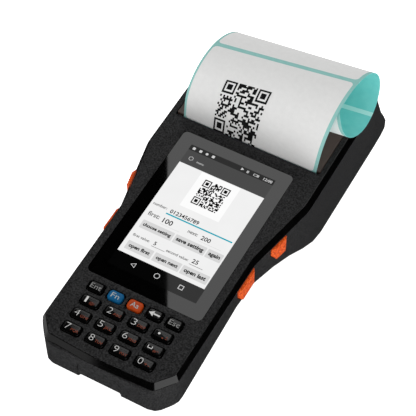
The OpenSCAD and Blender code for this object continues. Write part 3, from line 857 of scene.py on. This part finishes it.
bpy.ops.object.select_all(action="DESELECT")
bpy.ops.mesh.primitive_grid_add(x_subdivisions=24, y_subdivisions=176, size=1)
label = bpy.context.object
label.data.uv_layers[0].name = "alongLabel"
labelStart = -2.6    # it begins inside the slot
labelSpan = labelStock["length"] - labelStart
for v in label.data.vertices:
    v.co = onLabel(v.co.x + 0.5, labelStart + (v.co.y + 0.5) * labelSpan)
firstGap = labelStock["firstGap"]
for loop in label.data.uv_layers["alongLabel"].data:
    s = labelStart + loop.uv.y * labelSpan
    s = max(s, firstGap + (s - firstGap) * 0.9)    # the label below the first gap is a little longer
    loop.uv.y = s / labelStock["length"]
paint(label, labelFace)
label.data.materials.append(linerBack)
wall = label.modifiers.new("thickness", "SOLIDIFY")
wall.thickness = 0.14 * mm
wall.offset = -1
wall.material_offset = 1
wall.material_offset_rim = 1
settle(label, "printedLabel", "lid", None, 60)
label.visible_glossy = False
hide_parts("label_strip")

codeOnLabel = {"u0": 0.225, "u1": 0.54, "s0": -2, "s1": 41.5, "count": 27, "seed": 9029, "stretch": 0.45}
printed = codeGrid(codeOnLabel["count"], codeOnLabel["seed"])
bpy.ops.mesh.select_all(action="SELECT")
bpy.ops.mesh.subdivide(number_cuts=1)
bpy.ops.object.mode_set(mode="OBJECT")
for v in printed.data.vertices:
    c = codeOnLabel
    up = v.co.y + 0.5
    up = up * (1 + c["stretch"] - c["stretch"] * up)
    v.co = onLabel(c["u0"] + (v.co.x + 0.5) * (c["u1"] - c["u0"]), c["s0"] + up * (c["s1"] - c["s0"]), 0.05)
ink = printed.modifiers.new("thickness", "SOLIDIFY")
ink.thickness = 0.03 * mm
ink.offset = 0
thermalBlack = makePowdery("thermalPrintBlack", "#0a0a0a", "#161616", 0.7, 0.4, 0.15, 0.005)
settle(printed, "labelPrint", "lid", thermalBlack, 0)
printed.visible_glossy = False
print("label made")


# ------- small fittings

bpy.ops.object.select_all(action="DESELECT")
bpy.ops.mesh.primitive_cylinder_add(vertices=20, radius=0.55 * mm, depth=0.3 * mm,
                                    location=(35.5 * mm, 19.3 * mm, -0.1 * mm))
microphone = bpy.context.object
bpy.ops.object.transform_apply(location=True, rotation=True, scale=True)
openMesh(microphone)
pickFaces(microphone, lambda face: face.normal.z > 0.9)
bpy.ops.mesh.inset(thickness=0.12 * mm, depth=0)
bpy.ops.mesh.inset(thickness=0.05 * mm, depth=-0.25 * mm)
closeMesh()
settle(microphone, "microphonePort", "terminal", sensorBlack)

ridges = {"count": 7, "pitch": 1.9, "y": 22.0, "width": 24, "narrowing": 1.6, "thick": 0.9,
          "corner": 0.4, "depth": -26.5, "rooted": 0.4}
ridgeParts = []
for i in range(ridges["count"]):
    width = ridges["width"] - abs(i - ridges["count"] // 2) * ridges["narrowing"]
    bar = roundedSlab(0, ridges["y"] + i * ridges["pitch"], width, ridges["thick"], ridges["corner"],
                      ridges["depth"] - 0.02, ridges["depth"] + ridges["rooted"])
    closeMesh()
    openMesh(bar)
    pickFaces(bar, lambda face: face.normal.z < -0.9)
    bpy.ops.mesh.inset(thickness=0.18 * mm, depth=0.22 * mm)
    closeMesh()
    ridgeParts.append(bar)
settle(joined(ridgeParts), "batteryDoorGripRidges", "terminal", housingAbs)
print("fittings made")


# ------- room

camera = bpy.data.objects.new("camera", bpy.data.cameras.new("camera"))
bpy.context.scene.collection.objects.link(camera)
bpy.context.scene.camera = camera
lens = 138.69
sensor = 36
camera.data.lens = lens
camera.data.sensor_width = sensor
camera.data.clip_end = 100
viewRight = Vector((0.875459, 0.483275, -0.004096))
viewDown = Vector((0.389195, -0.710005, -0.586873))
viewAhead = Vector((-0.286529, 0.512189, -0.809668))
viewFrom = Vector((246.841, -326.400, 689.871)) * mm


def facing(origin, right, down, ahead):
    turn = Matrix((right, -down, -ahead)).transposed().to_4x4()
    return faceToRow @ Matrix.Translation(origin) @ turn


camera.matrix_world = facing(viewFrom, viewRight, viewDown, viewAhead)

bpy.ops.object.select_all(action="DESELECT")
bpy.ops.mesh.primitive_plane_add(size=12)
floor = bpy.context.object
floor.name = "studioFloor"
floor.location = (0, 0, -0.05 * mm)
paper = startMaterial("mattWhitePaper", Specular_IOR_Level=0.0, Roughness=0.9)
floorPaint, floorTree, floorShader, floorPlace = paper
mottled(floorTree, floorShader, floorPlace, "#ececec", "#f0f0f0", 40)
floorShader.inputs["Emission Color"].default_value = (1, 1, 1, 1)
floorShader.inputs["Emission Strength"].default_value = 1.0
paint(floor, floorPaint)
floor.visible_glossy = False
floor.visible_shadow = False

world = bpy.data.worlds.new("softRoom")
bpy.context.scene.world = world
world.use_nodes = True
world.node_tree.nodes["Background"].inputs["Color"].default_value = (1, 1, 1, 1)
world.node_tree.nodes["Background"].inputs["Strength"].default_value = 0.86
world.cycles_visibility.glossy = False

# Reflection panels. The main one is set out in the mirror image of the view on the glass, so that its
# straight edge crosses the glass; edges are shares of the view's width from its centre.
panels = {
    "main": {"left": -0.0973, "right": 0.75, "top": -0.40, "bottom": 0.75, "power": 2.0, "away": 2.2},
    "high": {"left": -1.2, "right": 0.9, "top": -1.6, "bottom": -0.42, "power": 1.2, "away": 2.3}}
mirrorFrom = Vector((viewFrom.x, viewFrom.y, -viewFrom.z))
mirrorRight = Vector((viewRight.x, viewRight.y, -viewRight.z))
mirrorDown = Vector((viewDown.x, viewDown.y, -viewDown.z))
mirrorAhead = Vector((viewAhead.x, viewAhead.y, -viewAhead.z))
spread = sensor / lens


def addPanel(name, matrix, width, height, radiance):
    # a lamp that only shows as a reflection
    lamp = bpy.data.lights.new(name, "AREA")
    lamp.shape = "RECTANGLE"
    lamp.size = width
    lamp.size_y = height
    lamp.energy = radiance * math.pi * width * height
    holder = bpy.data.objects.new(name, lamp)
    bpy.context.scene.collection.objects.link(holder)
    holder.matrix_world = matrix
    holder.visible_diffuse = False


for name, p in panels.items():
    reach = p["away"]
    side = (p["left"] + p["right"]) / 2 * spread * reach
    fall = (p["top"] + p["bottom"]) / 2 * spread * reach
    centre = mirrorFrom + mirrorAhead * reach + mirrorRight * side + mirrorDown * fall
    turn = Matrix((mirrorRight, mirrorAhead.cross(mirrorRight), mirrorAhead)).transposed().to_4x4()
    width = (p["right"] - p["left"]) * spread * reach
    height = (p["bottom"] - p["top"]) * spread * reach
    addPanel("reflection." + name, faceToRow @ Matrix.Translation(centre) @ turn, width, height, p["power"])

# Standing panels, two in front and one on the left. Angles are turned from straight in front, and right
# is positive.
standing = {"frontRight": {"from": 38, "to": 92, "low": -0.42, "high": 0.22, "away": 0.75, "power": 1.55},
            "frontLeft": {"from": -68, "to": -19, "low": -0.5, "high": 0.06, "away": 0.75, "power": 0.45},
            "sideLeft": {"from": -128, "to": -68, "low": -0.75, "high": -0.1, "away": 0.75, "power": 0.4}}
for name, p in standing.items():
    middle = math.radians((p["from"] + p["to"]) / 2)
    half = math.radians((p["to"] - p["from"]) / 2)
    outward = Vector((math.sin(middle), -math.cos(middle), 0))
    centre = outward * p["away"] + Vector((0, 0, (p["low"] + p["high"]) / 2))
    turn = outward.to_track_quat("Z", "Y").to_matrix().to_4x4()
    width = 2 * p["away"] * math.tan(half)
    height = p["high"] - p["low"]
    addPanel("reflection." + name, Matrix.Translation(centre) @ turn, width, height, p["power"])

bpy.context.scene.view_settings.view_transform = "Standard"
print("room made")
